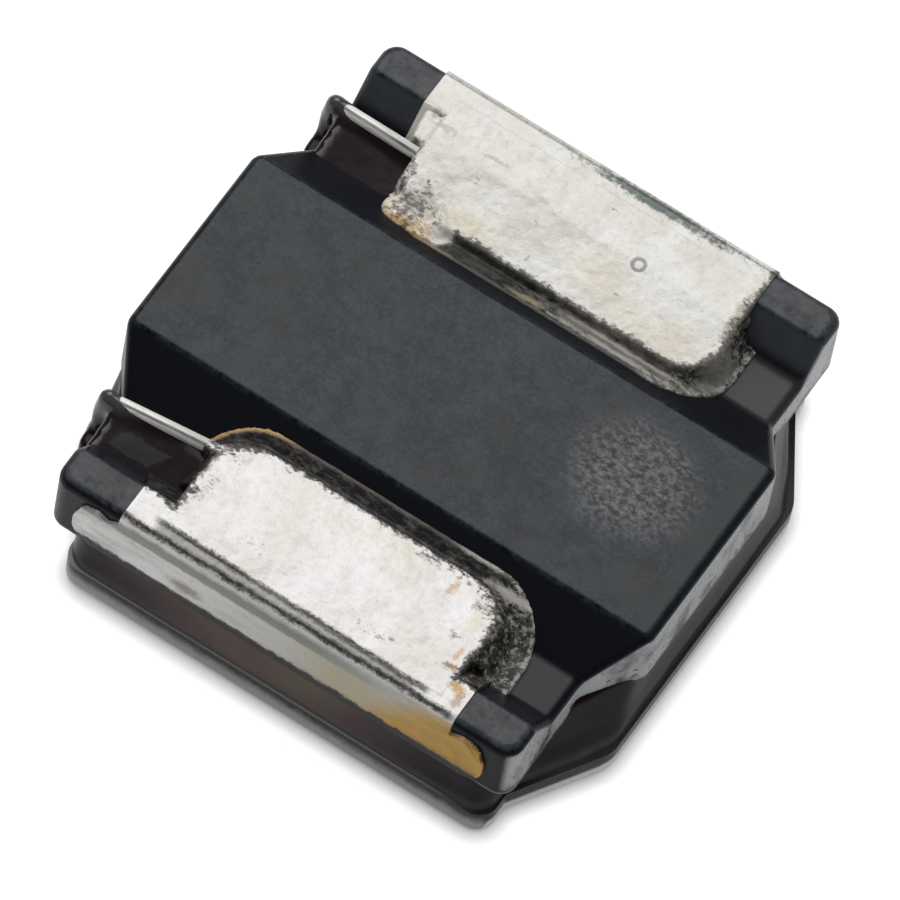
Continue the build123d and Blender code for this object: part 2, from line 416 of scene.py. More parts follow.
@dataclass(frozen=True)
class Resin:
    """Cast epoxy with magnetic powder: glossy and nearly black, brown in the middle of each side.

    Attributes:
        colour: the usual colour.
        plum: the purplish tone of the belt's middle.
        rust: the browner tone there.
        grey: the painted highlight on the folds round the leads.
        pond_reflection: painted reflection on the level spot in the front groove.
        foot: painted reflection of the floor, a paler tone along the cap flange.
    """

    colour: Colour = (0.0145, 0.0092, 0.0118)
    plum: Colour = (0.118, 0.082, 0.084)
    rust: Colour = (0.132, 0.106, 0.084)
    grey: Colour = (0.115, 0.120, 0.120)
    pond_reflection: Colour = (0.033, 0.033, 0.034)
    foot: Colour = (0.085, 0.078, 0.080)

    def material(self) -> Material:
        """Builds the finish."""
        g = Graph(bpy.data.materials.new("resin"))
        cloud = g.noise(1.6, 2.0, 0.5, 4.0)
        fine = g.noise(24.0, 3.0, 0.7)
        streak = g.noise(8.0, 3.0, 0.6, 6.0, (1.0, 1.0, 0.4))
        middle = abs(g.x + 0.1).step(1.45, 0.20) * g.z.step(0.68, 0.60)
        brown = g.mix(cloud.step(0.40, 0.62), self.plum, self.rust)
        # painted highlight: lighter grey where the resin's folds round the lead bends catch the light
        fold_highlight = g.z.step(1.02, 1.09) * g.x.step(-1.48, -1.68) * (0.35 + fine * 0.9)
        # painted reflection: a paler spot on the level pool in the front groove
        slant = abs(g.x + 1.44 - (g.y + 1.43) * 0.7) / 0.15
        pond_reflection = slant.most(abs(g.y + 1.43) / 0.065) + (streak - 0.5) * 1.1 + (fine - 0.5) * 0.4
        pond_reflection = pond_reflection.step(1.04, 0.90) * g.upward.step(0.6, 0.9)
        # painted reflection of the floor: the resin grows paler just above the cap flange
        foot = g.z.step(CAP_TOP + 0.11, CAP_TOP - 0.01) * (0.5 + streak * 0.5)
        colour = g.paint(self.colour, (middle * (0.75 + streak * 0.5), brown), (fold_highlight * 0.55, self.grey),
                         (pond_reflection * 0.8, self.pond_reflection), (foot, self.foot))
        relief = g.noise(3.0, 2.0, 0.5) * 0.005 + fine * 0.0006
        gloss = g.x.step(-1.62, -1.74) * g.z.step(0.80, 0.95) * 0.8 + pond_reflection * 0.35
        return g.surface(Base_Color=colour, Roughness=0.12 + 0.14 * g.noise(7.0, 2.0, 0.5, 7.0),
                         Normal=g.bump(relief), IOR=1.22, Coat_Weight=gloss, Coat_Roughness=0.08,
                         Coat_IOR=1.6)


@dataclass(frozen=True)
class Wire:
    """Copper wire with its enamel below the resin, tinned above it and with painted shade along its back.

    Attributes:
        enamelled: colour of the enamelled copper.
        tinned: colour of the tinned ends.
        dull: painted shade along their backs, broken by streaks.
    """

    enamelled: Colour = (0.55, 0.20, 0.10)
    tinned: Colour = (0.80, 0.79, 0.76)
    dull: Colour = (0.13, 0.13, 0.12)

    def material(self) -> Material:
        """Builds the finish."""
        g = Graph(bpy.data.materials.new("wire"))
        bare = g.z.step(0.58, 0.62) * g.x.step(-1.80, -1.74)
        streak = g.noise(22.0, 3.0, 0.6, 2.0, (0.25, 1.6, 1.6))
        # painted shade: a dark band on the wire's lower front side, between the lit top and the lower edge
        back = g.north.band(-0.56, -0.16, 0.10) * g.upward.step(0.0, 0.2)
        # the painted shade band, broken up by streaks
        worn = (back + (streak - 0.5) * 1.2) * 0.80
        colour = g.paint(self.enamelled, (bare, self.tinned), (worn.most(0.0), self.dull))
        return g.surface(Base_Color=colour, Metallic=0.15, Roughness=0.36 + 0.20 * streak,
                         Normal=g.bump(streak * 0.010))


@dataclass(frozen=True)
class Patch:
    """An area of a terminal with rounded corners, in millimetres.

    Attributes:
        left: its least X.
        right: its greatest X.
        inner: its least distance from the middle line.
        outer: its greatest distance from the middle line.
        corner: the corners' radius.
    """

    left: float
    right: float
    inner: float
    outer: float
    corner: float

    def distance(self, x: Field, away: Field) -> Field:
        """How far a point lies outside the area.

        Args:
            x: the point's X.
            away: its distance from the middle line.

        Returns:
            The distance, less than 0 inside.
        """
        along = abs(x - (self.left + self.right) / 2) - ((self.right - self.left) / 2 - self.corner)
        across = abs(away - (self.inner + self.outer) / 2)
        across = across - ((self.outer - self.inner) / 2 - self.corner)
        outside = (along.most(0.0) ** 2.0 + across.most(0.0) ** 2.0).root()
        return outside + along.most(across).least(0.0) - self.corner


@dataclass(frozen=True)
class Stain:
    """A spot on a terminal that fades outward, in millimetres.

    Attributes:
        x: where it is along the terminal.
        away: its distance from the middle line.
        wide: half its length along X.
        deep: half its depth.
        strength: how much there is of it.
        colour: its tint, which spots that only crowd the flecks do without.
    """

    x: float
    away: float
    wide: float
    deep: float
    strength: float
    colour: Colour = (0.0, 0.0, 0.0)

    def mask(self, x: Field, away: Field, brush: Field) -> Field:
        """Where the spot is, with an edge that a noise around 0.5 breaks up."""
        reach = ellipse(x, away, (self.x, self.away), (self.wide, self.deep))
        return (1.25 - reach + (brush - 0.5) * 2.6).step(0.0, 0.9) * self.strength


@dataclass(frozen=True)
class Line:
    """A rough dark line along a terminal, in millimetres.

    Attributes:
        away: its distance from the middle line where X is 0.
        slant: how much further out it runs for each millimetre of X.
        left: where it starts.
        right: where it ends.
        half: half its width.
        strength: how dark it is.
    """

    away: float
    slant: float
    left: float
    right: float
    half: float
    strength: float

    def mask(self, x: Field, away: Field, sway: Field) -> Field:
        """Where the line is, pushed to and fro by a field in millimetres."""
        off = away - self.away - x * self.slant + sway
        across = off.band(-self.half, self.half, self.half * 0.7)
        return across * x.band(self.left, self.right, 0.04) * self.strength


class Noises(NamedTuple):
    """A terminal's noises, from the finest to the broadest."""

    hair: Field
    fine: Field
    medium: Field
    broad: Field


@dataclass(frozen=True)
class Flank:
    """Film on a terminal's outer wall: pale, with a darker band and, on one of them, a gold end.

    Attributes:
        gilded: whether it has the gold end.
        white: its tone at the left.
        dull: its tone at the right.
        streaks: the darker streaks.
        band: the grey band below the rim.
        beige: the tone before the gold.
        gold: the gold end.
        tarnish: the darker streaks of the gold.
        blot: a brown blot.
        specks: the small specks all over.
        foot: the dark lower edge.
    """

    gilded: bool
    white: Colour = (0.90, 0.89, 0.88)
    dull: Colour = (0.64, 0.63, 0.58)
    streaks: Colour = (0.40, 0.40, 0.36)
    band: Colour = (0.215, 0.225, 0.205)
    beige: Colour = (0.54, 0.46, 0.30)
    gold: Colour = (0.60, 0.34, 0.045)
    tarnish: Colour = (0.36, 0.23, 0.05)
    blot: Colour = (0.20, 0.17, 0.085)
    specks: Colour = (0.22, 0.21, 0.18)
    foot: Colour = (0.018, 0.015, 0.014)

    def colour(self, g: Graph, noises: Noises) -> NodeSocket:
        """Builds the colours in a terminal's graph."""
        fine, medium = noises.fine, noises.medium
        sway = (medium - 0.5) * 0.12 + (fine - 0.5) * 0.06
        streak = g.noise(6.0, 4.0, 0.65, 3.0, (0.5, 1.0, 2.2))
        band = (g.z + sway * 0.35).band(1.025, 1.125, 0.020) * g.x.step(1.1, 0.2)
        beige = (g.x + sway).step(0.0, 0.5) * (g.z + sway * 0.5).step(1.06, 0.99)
        reach = g.x + (0.95 - g.z) * 0.9 + sway * 1.6
        gold = reach.step(0.72, 1.10) * (g.z + sway).step(1.22, 1.08) * float(self.gilded)
        blot = ellipse(g.x, g.z, (-0.69, 0.83), (0.12, 0.06)) + (fine - 0.5) * 2.0
        return g.paint(
            self.white, (g.x.step(-1.2, 0.3), self.dull), (streak.step(0.42, 0.74) * 0.55, self.streaks),
            (band * 0.85, self.band), (beige * 0.8, self.beige), (gold * 0.95, self.gold),
            (gold * streak.step(0.45, 0.7) * 0.6, self.tarnish), (blot.step(1.5, 0.3) * 0.75, self.blot),
            (fine.step(0.50, 0.80) * 0.40, self.specks), ((g.z + sway * 0.9).step(0.740, 0.700), self.foot))


@dataclass(frozen=True)
class Tin:
    """Tinned film and solder of one terminal, bright in the middle and dirty at its edges.

    Attributes:
        side: the terminal.
        bright: the clean tin's colour.
        shade: its slightly stained tone.
        clean: the clean areas.
        border: the outline of the residue round the solder.
        hem: the tints of that outline from left to right, each with the X where it begins.
        tints: soft stains on the clean tin.
        specks: where dark flecks crowd on it.
        lines: dark lines on it.
        marks: spots on the dirty film round it.
        ragged: how far its edge is broken up, in millimetres.
        edge_band: colour of the dark, ragged band along its edge.
        bubble: centre of a burst bubble, as X and distance from the middle line, or nothing.
    """

    side: Side
    bright: Colour
    shade: Colour
    clean: tuple[Patch, ...]
    border: Patch
    hem: tuple[tuple[Colour, float], ...]
    tints: tuple[Stain, ...]
    specks: tuple[Stain, ...]
    lines: tuple[Line, ...]
    marks: tuple[Stain, ...]
    ragged: float
    edge_band: Colour
    bubble: Pair | None = None

    def material(self) -> Material:
        """Builds the finish."""
        g = Graph(bpy.data.materials.new(f"tin_{self.side.label}"))
        away = g.y * float(self.side.value)
        noises = Noises(hair=g.noise(52.0, 2.0, 0.6, 9.0), fine=g.noise(27.0, 4.0, 0.75),
                        medium=g.noise(10.0, 4.0, 0.7, 2.0), broad=g.noise(2.4, 2.0, 0.5, 6.0))
        hair, fine, medium, broad = noises
        edge = self.clean[0].distance(g.x, away)
        for patch in self.clean[1:]:
            edge = edge.least(patch.distance(g.x, away))
        edge = edge + (medium - 0.5) * self.ragged + (fine - 0.5) * self.ragged * 1.2
        clean = edge.step(0.020, -0.020)
        colour = g.mix(clean, self.residue(g, away, fine), self.tinned(g, away, edge, noises))
        relief = broad * 0.020 + medium * 0.010 + fine * 0.004 + hair * 0.001
        if self.bubble:
            ring = ((g.x - self.bubble[0]) ** 2.0 + (away - self.bubble[1]) ** 2.0).root() - 0.040
            rim = abs(ring).step(0.019, 0.004)
            colour = g.mix(rim * 0.65, colour, DRAB)
            relief = relief + rim * 0.006
        flank = away.step(1.972, 1.988)
        colour = g.mix(flank, colour, Flank(self.side is Side.FRONT).colour(g, noises))
        return g.surface(Base_Color=colour, Metallic=0.22 * clean * (1.0 - flank), IOR=1.45,
                         Roughness=0.42 + 0.22 * fine - 0.12 * flank, Normal=g.bump(relief, 0.7))

    def tinned(self, g: Graph, away: Field, edge: Field, noises: Noises) -> NodeSocket:
        """Colours of the clean tin, with its stains, flecks and lines.

        Args:
            g: the material's graph.
            away: distance from the middle line.
            edge: distance outside the clean areas, less than 0 inside.
            noises: the terminal's noises.

        Returns:
            The colour's socket.
        """
        hair, fine, medium, broad = noises
        tin = g.paint(self.bright, (broad.step(0.34, 0.66), self.shade),
                      (medium.step(0.46, 0.72) * 0.32, tuple(c * 0.72 for c in self.shade)),
                      (fine.step(0.50, 0.80) * 0.34, tuple(c * 0.50 for c in self.shade)),
                      *((stain.mask(g.x, away, fine), stain.colour) for stain in self.tints))
        crowd = g.noise(3.0, 2.0, 0.5, 13.0).step(0.45, 0.75) * 0.3
        for speck in self.specks:
            crowd = crowd + speck.mask(g.x, away, medium)
        brush = g.noise(40.0, 3.0, 0.7, 9.0, (0.55, 1.0, 1.0))
        flecks = (brush * 0.7 + fine * 0.3 + crowd * 0.17).step(0.63, 0.80)
        fray = (brush * 0.6 + medium * 0.4 + edge.step(-0.085, 0.02) * 0.42).step(0.66, 0.86)
        sway = (medium - 0.5) * 0.050 + (hair - 0.5) * 0.036
        rough = (0.55 + fine * 0.8).least(1.0)
        return g.paint(tin, (flecks * (0.45 + crowd * 0.3).least(0.85), GRIME), (fray * 0.9, self.edge_band),
                       *((line.mask(g.x, away, sway) * rough, SOOT) for line in self.lines))

    def residue(self, g: Graph, away: Field, fine: Field) -> NodeSocket:
        """Colours of the dirty film beside the solder, with its outline.

        Args:
            g: the material's graph.
            away: distance from the middle line.
            fine: the terminal's fine noise.

        Returns:
            The colour's socket.
        """
        brush = g.noise(24.0, 4.0, 0.8, 5.0, (0.45, 1.0, 1.0))
        crumbs = g.noise(20.0, 4.0, 0.8, 17.0)
        film = g.paint(CHAR, (brush.step(0.44, 0.70), UMBER),
                       (crumbs.step(0.50, 0.60) * g.x.step(0.80, 1.10) * 0.8, ASH),
                       *((mark.mask(g.x, away, brush), mark.colour) for mark in self.marks))
        out = self.border.distance(g.x, away) + (fine - 0.5) * 0.034
        hem = g.paint(self.hem[0][0], *((g.x.step(begins - 0.12, begins + 0.12), colour)
                                        for colour, begins in self.hem[1:]))
        along = g.x.step(-0.95, -0.80).most(away.step(1.16, 1.08))
        broken = (0.30 + brush * 0.9) * (1.0 - g.x.step(0.7, 1.1) * crumbs.step(0.56, 0.44) * 0.9)
        return g.mix(out.band(-0.032, 0.012, 0.012) * along * broken, film, hem)


AMBER: Colour = (0.56, 0.36, 0.14)
RUST: Colour = (0.36, 0.20, 0.085)
CREAM: Colour = (0.72, 0.64, 0.44)
TAN: Colour = (0.30, 0.24, 0.15)
SILVER: Colour = (0.44, 0.42, 0.38)
MOSS: Colour = (0.175, 0.205, 0.190)
PINK: Colour = (0.105, 0.080, 0.070)
STONE: Colour = (0.20, 0.19, 0.165)
OLIVE: Colour = (0.070, 0.074, 0.068)
TAUPE: Colour = (0.42, 0.37, 0.32)
DRAB: Colour = (0.17, 0.16, 0.14)
GRIME: Colour = (0.10, 0.092, 0.078)
SOOT: Colour = (0.042, 0.040, 0.034)
CHAR: Colour = (0.0065, 0.0060, 0.0060)
UMBER: Colour = (0.095, 0.085, 0.075)
ASH: Colour = (0.30, 0.29, 0.26)

FRONT_TIN = Tin(
    side=Side.FRONT, bright=(0.875, 0.855, 0.850), shade=(0.80, 0.775, 0.730),
    clean=(Patch(-0.99, 1.12, 0.990, 2.20, 0.34), Patch(-1.50, 1.50, 1.69, 2.20, 0.04),
           Patch(-1.30, -0.60, 1.155, 1.215, 0.03)),
    border=Patch(-1.18, 1.40, 0.840, 2.60, 0.48),
    hem=((AMBER, -2.0), (PINK, -0.66), ((0.075, 0.070, 0.066), 0.20), (SILVER, 0.62)),
    tints=(Stain(0.75, 1.15, 0.03, 0.08, 0.7, AMBER), Stain(0.38, 1.09, 0.07, 0.05, 0.35, CREAM),
           Stain(-0.05, 1.17, 0.25, 0.10, 0.25, CREAM), Stain(1.00, 1.32, 0.06, 0.12, 0.4, CREAM),
           Stain(1.04, 1.55, 0.025, 0.08, 0.6, AMBER), Stain(1.06, 1.65, 0.07, 0.025, 0.9, RUST),
           Stain(1.17, 1.76, 0.08, 0.05, 0.9, AMBER), Stain(1.21, 1.84, 0.04, 0.07, 0.6, RUST)),
    specks=(Stain(0.52, 1.74, 0.20, 0.06, 0.9), Stain(-0.42, 1.66, 0.14, 0.07, 0.7),
            Stain(0.94, 1.45, 0.04, 0.05, 1.0), Stain(-0.50, 1.22, 0.05, 0.04, 0.7),
            Stain(-0.15, 1.70, 0.05, 0.04, 0.7), Stain(-0.99, 1.73, 0.05, 0.04, 1.3),
            Stain(-0.88, 1.17, 0.14, 0.08, 0.9), Stain(0.60, 1.05, 0.30, 0.05, 1.0),
            Stain(1.00, 1.12, 0.14, 0.14, 1.3), Stain(-0.92, 1.48, 0.10, 0.20, 0.7)),
    lines=(Line(1.872, 0.014, -1.02, 1.02, 0.021, 0.95), Line(1.948, 0.0, -1.24, 1.25, 0.020, 1.0),
           Line(1.910, 0.008, -1.00, 0.95, 0.030, 0.60)),
    marks=(Stain(1.12, 0.95, 0.30, 0.035, 0.9, SILVER),
           Stain(-0.98, 1.17, 0.12, 0.05, 0.9, SILVER)),
    ragged=0.07, edge_band=(0.034, 0.031, 0.025))
BACK_TIN = Tin(
    side=Side.BACK, bright=(0.79, 0.78, 0.75), shade=(0.73, 0.705, 0.645),
    clean=(Patch(-1.13, 1.21, 1.020, 2.20, 0.26), Patch(-1.50, 1.21, 1.41, 2.20, 0.04),
           Patch(-1.17, -0.62, 0.850, 1.50, 0.16), Patch(-1.45, -0.60, 1.39, 1.47, 0.03)),
    border=Patch(-1.20, 1.36, 0.845, 2.60, 0.40),
    hem=((AMBER, -2.0), (TAN, -0.80), (OLIVE, -0.60), (SILVER, 0.9)),
    tints=(Stain(-0.93, 1.05, 0.20, 0.18, 0.7, TAUPE), Stain(-0.95, 0.865, 0.26, 0.110, 0.95, AMBER),
           Stain(-1.12, 0.99, 0.06, 0.10, 0.6, CREAM), Stain(-1.20, 1.66, 0.03, 0.05, 0.5, TAN),
           Stain(-1.08, 1.60, 0.09, 0.03, 0.4, TAN), Stain(-0.60, 1.12, 0.20, 0.08, 0.4, CREAM),
           Stain(0.36, 1.925, 0.64, 0.050, 1.0, MOSS),
           Stain(0.40, 1.900, 0.50, 0.016, 0.6, (0.110, 0.120, 0.105)),
           Stain(0.90, 1.16, 0.30, 0.12, 0.3, CREAM),
           Stain(-0.69, 1.59, 0.10, 0.02, 0.6, (0.40, 0.40, 0.33)),
           Stain(-0.30, 1.52, 0.06, 0.03, 0.5, (0.40, 0.40, 0.36)),
           Stain(1.17, 1.50, 0.035, 0.22, 0.6, TAN), Stain(0.30, 1.25, 0.30, 0.20, 0.25, CREAM)),
    specks=(Stain(-0.96, 1.02, 0.20, 0.18, 1.5), Stain(-1.10, 1.21, 0.06, 0.16, 1.2),
            Stain(1.15, 1.67, 0.03, 0.06, 1.0), Stain(1.18, 1.46, 0.03, 0.12, 1.3),
            Stain(0.12, 1.73, 0.03, 0.025, 1.1), Stain(-0.20, 1.48, 0.04, 0.03, 0.8),
            Stain(-0.25, 1.35, 0.03, 0.03, 0.8), Stain(-0.17, 1.15, 0.02, 0.05, 0.8),
            Stain(-0.72, 1.41, 0.05, 0.04, 0.7), Stain(0.45, 1.23, 0.03, 0.03, 0.6),
            Stain(-1.13, 1.66, 0.05, 0.05, 1.0)),
    lines=(Line(1.955, 0.0, -1.30, -0.30, 0.008, 0.35),),
    marks=(Stain(0.60, 0.95, 0.66, 0.09, 0.75, STONE), Stain(0.60, 0.90, 0.62, 0.024, 0.6, SILVER),
           Stain(0.70, 0.97, 0.50, 0.018, 0.7, SILVER), Stain(1.24, 1.15, 0.10, 0.26, 0.75, STONE),
           Stain(1.31, 1.20, 0.04, 0.20, 0.7, MOSS), Stain(-0.02, 0.905, 0.16, 0.03, 0.8, TAN),
           Stain(-0.40, 0.96, 0.36, 0.10, 0.6, (0.050, 0.055, 0.047))),
    ragged=0.035, edge_band=(0.110, 0.100, 0.080), bubble=(0.455, 1.485))


# ---- the bench ------------------------------------------------------------------------------
class Bench:
    """One mesh being shaped in millimetres with Blender's own tools."""

    def __init__(self, name: str) -> None:
        """Starts an empty bench for a piece of that name."""
        self.name = name
        self.piece: Object | None = None

    def _take(self) -> None:
        """Makes the active object the bench's piece, joined with what was there before."""
        new = bpy.context.object
        bpy.ops.object.transform_apply(location=True, rotation=True, scale=True)
        if self.piece is None:
            self.piece = new
            self.piece.name = self.name
        else:
            self.join(new)

    def join(self, other: Object) -> None:
        """Joins another object to the piece."""
        self.hold()
        other.select_set(True)
        bpy.ops.object.join()

    def resize(self, by: Point) -> "Bench":
        """Scales everything about the part's origin."""
        self.edit()
        bpy.ops.transform.resize(value=by, center_override=(0, 0, 0))
        return self.leave()

    @staticmethod
    def clear() -> None:
        """Deselects everything."""
        bpy.ops.object.select_all(action="DESELECT")

    def hold(self) -> None:
        """Selects the piece alone and makes it the active object."""
        self.clear()
        self.piece.select_set(True)
        bpy.context.view_layer.objects.active = self.piece

    def block(self, low: Point, high: Point) -> "Bench":
        """Adds a box between two corners."""
        self.clear()
        size = tuple(b - a for a, b in zip(low, high))
        centre = tuple((a + b) / 2 for a, b in zip(low, high))
        bpy.ops.mesh.primitive_cube_add(size=1.0, location=centre, scale=size)
        self._take()
        return self

    def bead(self, centre: Point, radii: Point) -> "Bench":
        """Adds a rounded bead with three radii."""
        self.clear()
        bpy.ops.mesh.primitive_uv_sphere_add(segments=32, ring_count=16, radius=1.0, location=centre,
                                             scale=radii)
        self._take()
        return self

    def spigot(self, foot: Point, head: Point, radii: Pair) -> "Bench":
        """Adds a round taper between two points, with a radius at each end."""
        self.clear()
        axis = Vector(head) - Vector(foot)
        turn = axis.to_track_quat("Z", "Y").to_euler()
        middle = (Vector(foot) + Vector(head)) / 2
        bpy.ops.mesh.primitive_cone_add(vertices=32, radius1=radii[0], radius2=radii[1], depth=axis.length,
                                        location=middle, rotation=turn)
        self._take()
        return self

    def copy_of(self, node: Object) -> "Bench":
        """Adds a copy of a CAD node, brought to millimetres and merged."""
        self.clear()
        twin = node.copy()
        twin.data = node.data.copy()
        bpy.context.scene.collection.objects.link(twin)
        twin.select_set(True)
        bpy.context.view_layer.objects.active = twin
        bpy.ops.object.parent_clear(type="CLEAR_KEEP_TRANSFORM")
        bpy.ops.object.transform_apply(location=True, rotation=True, scale=True)
        twin.scale = (1 / MM,) * 3
        self._take()
        self.edit()
        bpy.ops.mesh.remove_doubles(threshold=0.0005)
        bpy.ops.mesh.normals_make_consistent(inside=False)
        return self.leave()

    def edit(self) -> None:
        """Enters edit mode with everything selected."""
        self.hold()
        bpy.ops.object.mode_set(mode="EDIT")
        bpy.ops.mesh.select_all(action="SELECT")

    def leave(self) -> "Bench":
        """Goes back to object mode."""
        bpy.ops.object.mode_set(mode="OBJECT")
        return self

    def select(self, mode: str, test: Callable[[Vector], bool]) -> None:
        """Enters edit mode with the parts selected whose corners all pass a test.

        Args:
            mode: VERT, EDGE or FACE.
            test: says whether a corner counts.
        """
        self.edit()
        bpy.ops.mesh.select_mode(type=mode)
        bpy.ops.mesh.select_all(action="DESELECT")
        bpy.ops.object.mode_set(mode="OBJECT")
        mesh = self.piece.data
        passed = [test(corner.co) for corner in mesh.vertices]
        parts = {"VERT": mesh.vertices, "EDGE": mesh.edges, "FACE": mesh.polygons}[mode]
        for part in parts:
            corners = (part.index,) if mode == "VERT" else part.vertices
            part.select = all(passed[corner] for corner in corners)
        bpy.ops.object.mode_set(mode="EDIT")

    def move(self, test: Callable[[Vector], bool], by: Point) -> "Bench":
        """Moves the corners that pass a test."""
        self.select("VERT", test)
        bpy.ops.transform.translate(value=by)
        return self.leave()

    def round_off(self, test: Callable[[Vector], bool], radius: float, steps: int = 6) -> "Bench":
        """Rounds the edges whose ends pass a test."""
        self.select("EDGE", test)
        bpy.ops.mesh.bevel(offset=radius, segments=steps, affect="EDGES", clamp_overlap=True)
        return self.leave()

    def trim(self, point: Point, outward: Point) -> "Bench":
        """Cuts off all that lies outward of a plane through a point, and closes the cut."""
        self.edit()
        bpy.ops.mesh.bisect(plane_co=point, plane_no=outward, use_fill=True, clear_outer=True)
        return self.leave()

    def apply(self, kind: str, **settings: object) -> "Bench":
        """Adds a modifier of a kind with its settings and applies it."""
        self.hold()
        modifier = self.piece.modifiers.new(kind.lower(), kind)
        for name, value in settings.items():
            setattr(modifier, name, value)
        bpy.ops.object.modifier_apply(modifier=modifier.name)
        return self

    def roughen(self, size: float, height: float) -> "Bench":
        """Gives the surface soft lumps of a size and height."""
        texture = bpy.data.textures.new(f"{self.name}_lumps", "CLOUDS")
        texture.noise_scale = size
        texture.noise_depth = 1
        return self.apply("DISPLACE", texture=texture, texture_coords="LOCAL", strength=height,
                          mid_level=0.5)

    def hand_over(self, material: Material, slot: str, stands_for: str, crease: float = 180.0) -> Object:
        """Brings the piece to metres and hooks it up.

        Args:
            material: its finish.
            slot: the record's slot for it, which is not used.
            stands_for: the CAD node that it replaces.
            crease: the angle in degrees past which an edge stays sharp.

        Returns:
            The finished piece.
        """
        self.edit()
        bpy.ops.mesh.normals_make_consistent(inside=False)
        self.leave()
        self.piece.scale = (MM,) * 3
        bpy.ops.object.transform_apply(location=True, rotation=True, scale=True)
        bpy.ops.object.shade_smooth_by_angle(angle=math.radians(crease))
        self.piece.data.materials.clear()
        dress(self.piece, material)
        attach(self.piece, ROOT)
        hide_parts(stands_for)
        LOG.info("%s: %d faces", self.name, len(self.piece.data.polygons))
        return self.piece


# ---- sub-assemblies -------------------------------------------------------------------------
@dataclass
class Leads:
    """The winding with its two wire ends, of which one is laid a little nearer the ridge than in CAD.

    Attributes:
        shift: how far the far end of the back wire is moved along Y, in millimetres.
    """

    shift: float = -0.16

    def build(self, node: Object) -> Object:
        """Makes the winding from a copy of the CAD one."""
        bench = Bench("winding_wire").copy_of(node)
        bench.move(lambda c: c.x > -1.2 and c.y > 1.0 and c.z > 0.95, (0, self.shift, 0))
        return bench.hand_over(Wire().material(), "copper_wire", node.name, crease=40.0)


@dataclass
class Overcoat:
    """Resin between the flanges, with a web up to each lead's bend and a pool below the lead.

    Attributes:
        webs: Y where each lead turns over the flange's edge, and where the resin under it ends.
        pools: the lower and upper corner of the pool in each groove.
        lift: how much higher a pool is along its +Y side, at the lead.
        belt_top: the height up to which the ring between the flanges is used.
        tuck: how far the ring runs on inside the flanges.
        inset: how much narrower the ring is made, so that it stays behind the cap's edge.
        bend_x: where the leads turn over the flange's edge.
        web_top: how high the resin reaches there.
        bead: the radius of the resin round each bend.
        neck: the radius of each web below the bead.
        foot: its radius where it leaves the ring.
        swell: how far the surface is pushed out again after it is smoothed.
        voxel: how finely the parts are melted together.
    """

    webs: tuple[Pair, ...] = ((-1.25, -1.185), (1.40, 1.355))
    pools: tuple[tuple[Point, Point], ...] = (((-1.72, -1.66, 0.80), (-0.95, -1.24, 0.945)),
                                              ((-1.72, 0.95, 0.80), (-1.05, 1.36, 0.925)))
    lift: float = 0.10
    belt_top: float = 0.612
    tuck: float = 0.10
    inset: float = 0.992
    bend_x: float = -1.785
    web_top: float = 1.104
    bead: float = 0.056
    neck: float = 0.066
    foot: float = 0.12
    swell: float = 0.010
    voxel: float = 0.022

    def web(self, bench: Bench, y: float, lead_y: float) -> None:
        """Adds one web, with the resin round the bend and along the underside of the lead.

        Args:
            bench: where the overcoat is made.
            y: where the lead turns over the flange's edge.
            lead_y: where the resin below the lead runs out.
        """
        x = self.bend_x
        neck = self.web_top - 0.20
        bend = (x + 0.006, y, self.web_top - self.bead)
        sleeve = (x + 0.16, y, self.web_top - self.bead - 0.014)
        bench.spigot((x + 0.05, y, 0.50), (x - 0.005, y, neck), (self.foot, self.neck))
        bench.spigot((x - 0.005, y, neck - 0.02), bend, (self.neck, self.bead))
        bench.bead(bend, (self.bead, self.bead, self.bead))
        bench.spigot(bend, sleeve, (self.bead, 0.046))
        bench.spigot(sleeve, (-1.08, lead_y, 1.000), (0.046, 0.044))

    def pool(self, bench: Bench, low: Point, high: Point) -> None:
        """Adds the pool between two corners of a groove, which climbs towards the lead."""
        bench.block(low, high)
        bench.move(lambda c: abs(c.y - high[1]) < TOUCH and abs(c.z - high[2]) < TOUCH
                   and low[0] - TOUCH < c.x < high[0] + TOUCH, (0, 0, self.lift))

    def build(self, node: Object) -> Object:
        """Makes the overcoat from the ring of the CAD one."""
        bench = Bench("resin_overcoat").copy_of(node).trim((0, 0, self.belt_top), (0, 0, 1))
        bench.resize((self.inset, self.inset, 1.0))
        bench.move(lambda c: c.z > self.belt_top - 0.001, (0, 0, self.tuck))
        bench.move(lambda c: c.z < CAP_TOP + 0.0005, (0, 0, -self.tuck))
        for y, lead_y in self.webs:
            self.web(bench, y, lead_y)
        for low, high in self.pools:
            self.pool(bench, low, high)
        bench.apply("REMESH", mode="VOXEL", voxel_size=self.voxel)
        bench.apply("SMOOTH", factor=0.5, iterations=7)
        bench.apply("DISPLACE", strength=self.swell, mid_level=0.0)
        bench.roughen(0.45, 0.006)
        return bench.hand_over(Resin().material(), "resin", node.name)


